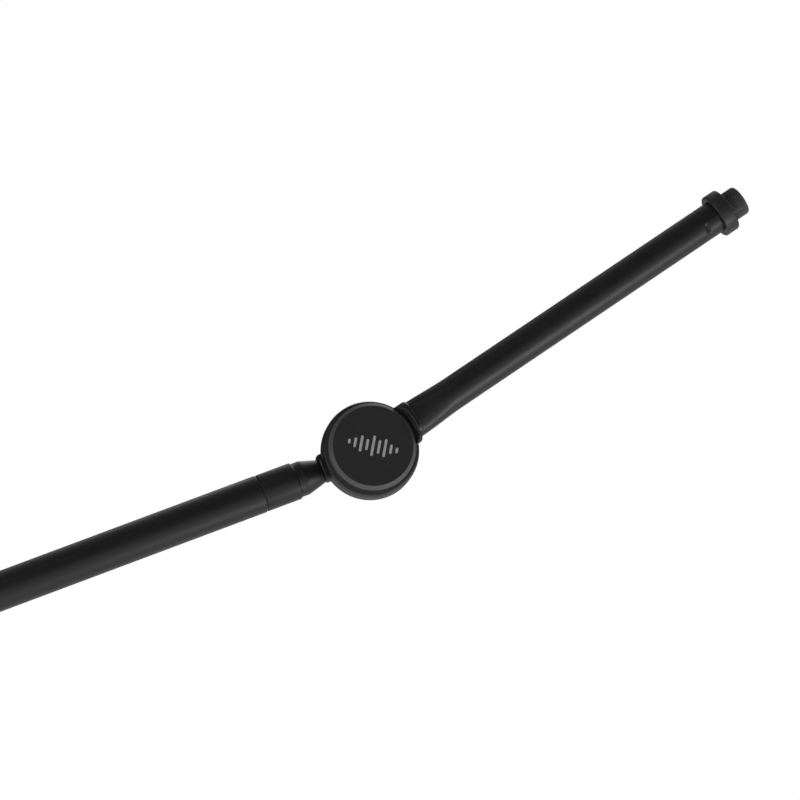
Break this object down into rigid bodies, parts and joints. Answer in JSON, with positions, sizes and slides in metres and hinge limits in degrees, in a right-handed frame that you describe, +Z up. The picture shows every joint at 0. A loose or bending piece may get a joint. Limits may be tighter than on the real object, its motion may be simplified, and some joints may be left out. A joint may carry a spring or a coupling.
{
  "type": "boom microphone stand",
  "caption": "Boom microphone stand: weighted round base, telescopic upright, tilting telescopic boom with counterweight, and a short jointed arm ending in a microphone thread.",
  "frame": {"origin": "on the floor, at the centre of the base and under the upright", "axes": "+Z up along the upright, +X the way the boom reaches, +Y away from the boom, which runs on the -Y side of the upright"},
  "size_m": [1.0639, 0.3, 1.3739],
  "materials": {
    "cast_base": "black textured powder coat",
    "pad_rubber": "matt black rubber",
    "tube_coat": "black satin powder coat",
    "clutch_plastic": "black moulded plastic",
    "grip_rubber": "black ribbed soft grip",
    "collet_nylon": "natural nylon",
    "plated_steel": "zinc-plated steel",
    "black_steel": "black oxide steel",
    "head_casting": "black satin paint on zinc casting",
    "knob_plastic": "black glass-filled nylon",
    "brass_insert": "turned brass",
    "friction_fibre": "brown friction fibre",
    "weight_iron": "black painted iron",
    "joint_casting": "black satin paint on zinc casting",
    "cap_plastic": "black satin moulded plastic",
    "thread_metal": "black-coated steel, slightly shiny"
  },
  "bodies": {
    "stand": {"base_plate": "cast_base", "base_pad": "pad_rubber", "foot_plug": "black_steel", "lower_tube": "tube_coat", "height_clutch_body": "clutch_plastic", "height_collet": "collet_nylon"},
    "height_grip": {"height_grip": "grip_rubber"},
    "mast_guide": {"mast_guide": "collet_nylon"},
    "mast": {"mast_tube": "tube_coat", "top_stud": "plated_steel", "head_socket": "head_casting", "socket_set_screw": "black_steel"},
    "tilt_knob": {"tilt_knob": "knob_plastic", "tilt_knob_insert": "brass_insert", "tilt_washer": "plated_steel"},
    "saddle": {"boom_saddle": "head_casting", "saddle_liner": "clutch_plastic", "pivot_bolt": "plated_steel", "head_friction_disc": "friction_fibre"},
    "saddle_knob": {"saddle_knob": "knob_plastic", "saddle_screw": "plated_steel"},
    "boom": {"boom_outer_tube": "tube_coat", "boom_rear_cap": "clutch_plastic", "boom_clutch_body": "clutch_plastic", "boom_collet": "collet_nylon"},
    "boom_grip": {"boom_grip": "grip_rubber"},
    "counterweight": {"counterweight": "weight_iron", "counterweight_bush": "clutch_plastic"},
    "counterweight_knob": {"counterweight_knob": "knob_plastic", "counterweight_screw": "plated_steel"},
    "boom_guide": {"boom_guide": "collet_nylon"},
    "boom_inner": {"boom_inner_tube": "tube_coat", "end_plug": "tube_coat", "rear_housing": "joint_casting", "rear_cap": "cap_plastic", "joint_bolt": "plated_steel", "joint_nut": "plated_steel", "joint_spring": "plated_steel", "joint_friction_disc": "friction_fibre"},
    "arm": {"front_housing": "joint_casting", "front_cap": "cap_plastic", "arm_tube": "tube_coat", "thread_insert": "thread_metal"},
    "lock_ring": {"lock_ring": "thread_metal"}
  },
  "joints": [
    {"name": "height_grip_turn", "type": "hinge", "parent": "stand", "child": "height_grip", "pos_m": [0, 0, 0.66], "axis": [0, 0, 1], "range_deg": [0, 270]},
    {"name": "height_slide", "type": "slide", "parent": "stand", "child": "mast_guide", "axis": [0, 0, 1], "range_m": [0, 0.42]},
    {"name": "mast_pan", "type": "hinge", "parent": "mast_guide", "child": "mast", "pos_m": [0, 0, 0.5], "axis": [0, 0, 1], "continuous": true},
    {"name": "tilt_knob_turn", "type": "hinge", "parent": "saddle", "child": "tilt_knob", "pos_m": [0, 0.02, 1.01], "axis": [0, 1, 0], "range_deg": [0, 270]},
    {"name": "saddle_tilt", "type": "hinge", "parent": "mast", "child": "saddle", "pos_m": [0, 0, 1.01], "axis": [0, -1, 0], "range_deg": [-80, 65]},
    {"name": "saddle_knob_turn", "type": "hinge", "parent": "saddle", "child": "saddle_knob", "pos_m": [0.01114, -0.048, 0.98215], "axis": [0.3714, 0, -0.9285], "range_deg": [0, 270]},
    {"name": "saddle_slide", "type": "slide", "parent": "saddle", "child": "boom", "axis": [0.9285, 0, 0.3714], "range_m": [-0.22, 0.18]},
    {"name": "boom_grip_turn", "type": "hinge", "parent": "boom", "child": "boom_grip", "pos_m": [0.3064, -0.048, 1.13255], "axis": [0.9285, 0, 0.3714], "range_deg": [0, 270]},
    {"name": "counterweight_slide", "type": "slide", "parent": "boom", "child": "counterweight", "axis": [-0.9285, 0, -0.3714], "range_m": [-0.18, 0.02]},
    {"name": "counterweight_knob_turn", "type": "hinge", "parent": "counterweight", "child": "counterweight_knob", "pos_m": [-0.21727, -0.048, 0.88002], "axis": [0.3714, 0, -0.9285], "range_deg": [0, 270]},
    {"name": "boom_extend", "type": "slide", "parent": "boom", "child": "boom_guide", "axis": [0.9285, 0, 0.3714], "range_m": [-0.14, 0.18]},
    {"name": "boom_roll", "type": "hinge", "parent": "boom_guide", "child": "boom_inner", "pos_m": [0.27855, -0.048, 1.12141], "axis": [0.9285, 0, 0.3714], "continuous": true},
    {"name": "arm_tilt", "type": "hinge", "parent": "boom_inner", "child": "arm", "pos_m": [0.56638, -0.0562, 1.23653], "axis": [0, -1, 0], "range_deg": [-130, 105]},
    {"name": "clip_ring_turn", "type": "hinge", "parent": "arm", "child": "lock_ring", "pos_m": [0.74297, -0.0652, 1.36065], "axis": [0.8181, 0, 0.575], "continuous": true}
  ]
}
